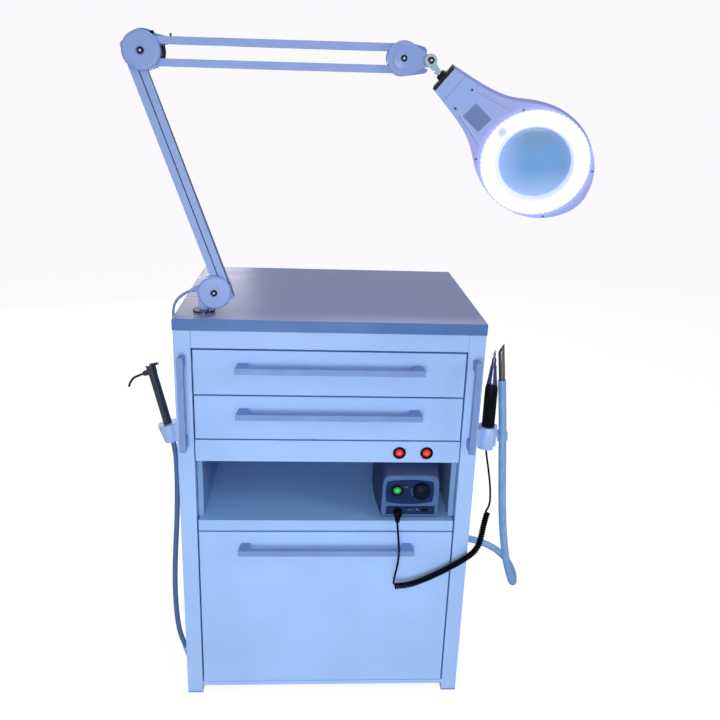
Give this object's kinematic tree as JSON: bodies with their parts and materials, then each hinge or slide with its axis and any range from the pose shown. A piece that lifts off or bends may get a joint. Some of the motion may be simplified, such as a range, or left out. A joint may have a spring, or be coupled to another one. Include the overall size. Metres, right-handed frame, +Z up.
{
  "type": "clinic cabinet with magnifier lamp",
  "caption": "Floor-standing clinic cabinet with drawers, open bay, handpiece unit, side-hung instruments and a balanced-arm magnifier lamp.",
  "frame": {"origin": "on the floor under the centre of the cabinet's footprint", "axes": "+X right, -Y towards the user, +Z up"},
  "size_m": [0.8144, 0.4705, 1.2525],
  "materials": {
    "worktop_laminate": "matte grey-lavender laminate",
    "edge_plastic": "matte blue-grey edging",
    "frame_paint": "satin powder coat",
    "board_paint": "satin laminate",
    "lining_board": "matte laminate",
    "tray_board": "matte",
    "handle_metal": "satin",
    "runner_steel": "zinc plated",
    "glide_black": "matte",
    "black_plastic": "gloss",
    "switch_black": "gloss",
    "rocker_red": "gloss, translucent",
    "rocker_green": "gloss, translucent",
    "holder_white": "satin moulded plastic",
    "unit_plastic": "fine textured moulded plastic",
    "fascia_blue": "satin printed film",
    "hose_grey": "satin silicone",
    "lead_black": "satin",
    "cord_grey": "satin",
    "syringe_black": "gloss",
    "nozzle_metal": "dark polished",
    "handpiece_black": "knurled grip",
    "lamp_plastic": "satin",
    "lamp_bar_paint": "satin paint",
    "lamp_chrome": "polished",
    "head_plastic": "satin moulded plastic",
    "diffuser_white": "frosted",
    "lens_glass": "clear",
    "lid_plastic": "satin"
  },
  "bodies": {
    "cabinet": {"worktop_board": "worktop_laminate", "worktop_edge_band": "edge_plastic", "frame_posts": "frame_paint", "frame_rails": "frame_paint", "foot_glides": "glide_black", "side_panels": "board_paint", "back_panel": "board_paint", "bottom_panel": "board_paint", "bay_shelf": "board_paint", "bay_lining": "lining_board", "switch_panel": "board_paint", "switch_housings": "switch_black", "runner_channels": "runner_steel", "post_handles": "handle_metal", "mains_inlet": "black_plastic", "lamp_cord": "cord_grey", "syringe_hose": "hose_grey", "suction_hose": "hose_grey", "handpiece_lead": "lead_black", "handpiece_coil": "lead_black", "side_glands": "black_plastic", "syringe_holder": "holder_white", "syringe_body": "syringe_black", "syringe_nozzle": "nozzle_metal", "handpiece_holder": "holder_white", "handpiece": "handpiece_black", "suction_cannula": "nozzle_metal", "unit_case": "unit_plastic", "unit_fascia": "fascia_blue", "handpiece_plug": "black_plastic", "lamp_flange": "lamp_plastic"},
    "drawer_upper": {"drawer_upper_front": "board_paint", "drawer_upper_tray": "tray_board", "drawer_upper_handle": "handle_metal"},
    "drawer_middle": {"drawer_middle_front": "board_paint", "drawer_middle_tray": "tray_board", "drawer_middle_handle": "handle_metal"},
    "drawer_deep": {"drawer_deep_front": "board_paint", "drawer_deep_tray": "tray_board", "drawer_deep_handle": "handle_metal"},
    "switch_left": {"switch_rocker_left": "rocker_red"},
    "switch_right": {"switch_rocker_right": "rocker_red"},
    "unit_power": {"unit_power_rocker": "rocker_green"},
    "unit_dial": {"unit_speed_dial": "black_plastic"},
    "unit_slider": {"unit_slide_switch": "black_plastic"},
    "syringe_trigger": {"syringe_lever": "syringe_black"},
    "lamp_swivel": {"lamp_base": "lamp_plastic"},
    "lower_front_bar": {"lower_arm_front_bar": "lamp_bar_paint"},
    "lower_rear_bar": {"lower_arm_rear_bar": "lamp_bar_paint"},
    "elbow": {"lamp_elbow": "lamp_plastic"},
    "upper_top_bar": {"upper_arm_top_bar": "lamp_bar_paint"},
    "upper_bottom_bar": {"upper_arm_bottom_bar": "lamp_bar_paint"},
    "wrist": {"lamp_wrist": "lamp_plastic"},
    "fork": {"lamp_fork": "lamp_chrome"},
    "head": {"lamp_neck_cap": "black_plastic", "lamp_head_front_shell": "head_plastic", "lamp_head_rear_shell": "head_plastic", "lamp_ring_light": "diffuser_white", "lamp_lens": "lens_glass"},
    "lens_lid": {"lamp_lens_cover": "lid_plastic"}
  },
  "joints": [
    {"name": "drawer_upper_slide", "type": "slide", "parent": "cabinet", "child": "drawer_upper", "axis": [0, -1, 0], "range_m": [0, 0.3]},
    {"name": "drawer_middle_slide", "type": "slide", "parent": "cabinet", "child": "drawer_middle", "axis": [0, -1, 0], "range_m": [0, 0.3]},
    {"name": "drawer_deep_slide", "type": "slide", "parent": "cabinet", "child": "drawer_deep", "axis": [0, -1, 0], "range_m": [0, 0.3], "deforming": ["handpiece_lead", "handpiece_coil"]},
    {"name": "switch_left_rock", "type": "hinge", "parent": "cabinet", "child": "switch_left", "pos_m": [0.1305, -0.212, 0.5405], "axis": [1, 0, 0], "range_deg": [-14, 0]},
    {"name": "switch_right_rock", "type": "hinge", "parent": "cabinet", "child": "switch_right", "pos_m": [0.181, -0.212, 0.5405], "axis": [1, 0, 0], "range_deg": [-14, 0]},
    {"name": "unit_power_rock", "type": "hinge", "parent": "cabinet", "child": "unit_power", "pos_m": [0.1313, -0.2052, 0.459], "axis": [1, 0, 0], "range_deg": [-14, 0]},
    {"name": "unit_dial_turn", "type": "hinge", "parent": "cabinet", "child": "unit_dial", "pos_m": [0.1772, -0.2077, 0.459], "axis": [0, 1, 0], "range_deg": [0, 270]},
    {"name": "unit_slider_shift", "type": "slide", "parent": "cabinet", "child": "unit_slider", "axis": [1, 0, 0], "range_m": [0, 0.006]},
    {"name": "syringe_trigger_press", "type": "hinge", "parent": "cabinet", "child": "syringe_trigger", "pos_m": [-0.32815, -0.15, 0.68332], "axis": [0, 1, 0], "range_deg": [0, 10], "stiffness_Nm_per_rad": 0.05},
    {"name": "lamp_swivel_turn", "type": "hinge", "parent": "cabinet", "child": "lamp_swivel", "pos_m": [-0.2264, -0.1584, 0.79], "axis": [0, 0, 1], "range_deg": [-110, 110], "deforming": ["lamp_cord"]},
    {"name": "lower_arm_tilt", "type": "hinge", "parent": "lamp_swivel", "child": "lower_front_bar", "pos_m": [-0.17893, -0.1584, 0.81802], "axis": [0, 1, 0], "range_deg": [0, 90]},
    {"name": "lower_rear_bar_tilt", "type": "hinge", "parent": "lamp_swivel", "child": "lower_rear_bar", "pos_m": [-0.20313, -0.1584, 0.84472], "axis": [0, 1, 0], "range_deg": [0, 90]},
    {"name": "elbow_level", "type": "hinge", "parent": "lower_front_bar", "child": "elbow", "pos_m": [-0.31467, -0.1584, 1.19928], "axis": [0, 1, 0], "range_deg": [-90, 0]},
    {"name": "upper_arm_tilt", "type": "hinge", "parent": "elbow", "child": "upper_top_bar", "pos_m": [-0.2957, -0.1584, 1.2347], "axis": [0, 1, 0], "range_deg": [-45, 22]},
    {"name": "upper_bottom_bar_tilt", "type": "hinge", "parent": "elbow", "child": "upper_bottom_bar", "pos_m": [-0.2957, -0.1584, 1.2013], "axis": [0, 1, 0], "range_deg": [-45, 22]},
    {"name": "wrist_level", "type": "hinge", "parent": "upper_top_bar", "child": "wrist", "pos_m": [0.0996, -0.1584, 1.2381], "axis": [0, 1, 0], "range_deg": [-22, 45]},
    {"name": "head_tilt", "type": "hinge", "parent": "wrist", "child": "fork", "pos_m": [0.1523, -0.1584, 1.2199], "axis": [0, 1, 0], "range_deg": [-70, 25]},
    {"name": "head_roll", "type": "hinge", "parent": "fork", "child": "head", "pos_m": [0.1787, -0.1584, 1.1931], "axis": [0.7869, 0, -0.617], "range_deg": [-90, 90]},
    {"name": "lens_lid_swing", "type": "hinge", "parent": "head", "child": "lens_lid", "pos_m": [0.28719, -0.14487, 1.11429], "axis": [0.5798, -0.342, 0.7395], "range_deg": [0, 110]}
  ],
  "couplings": [
    {"joint": "lower_rear_bar_tilt", "follows": "lower_arm_tilt", "ratio": 1},
    {"joint": "elbow_level", "follows": "lower_arm_tilt", "ratio": -1},
    {"joint": "upper_bottom_bar_tilt", "follows": "upper_arm_tilt", "ratio": 1},
    {"joint": "wrist_level", "follows": "upper_arm_tilt", "ratio": -1}
  ]
}
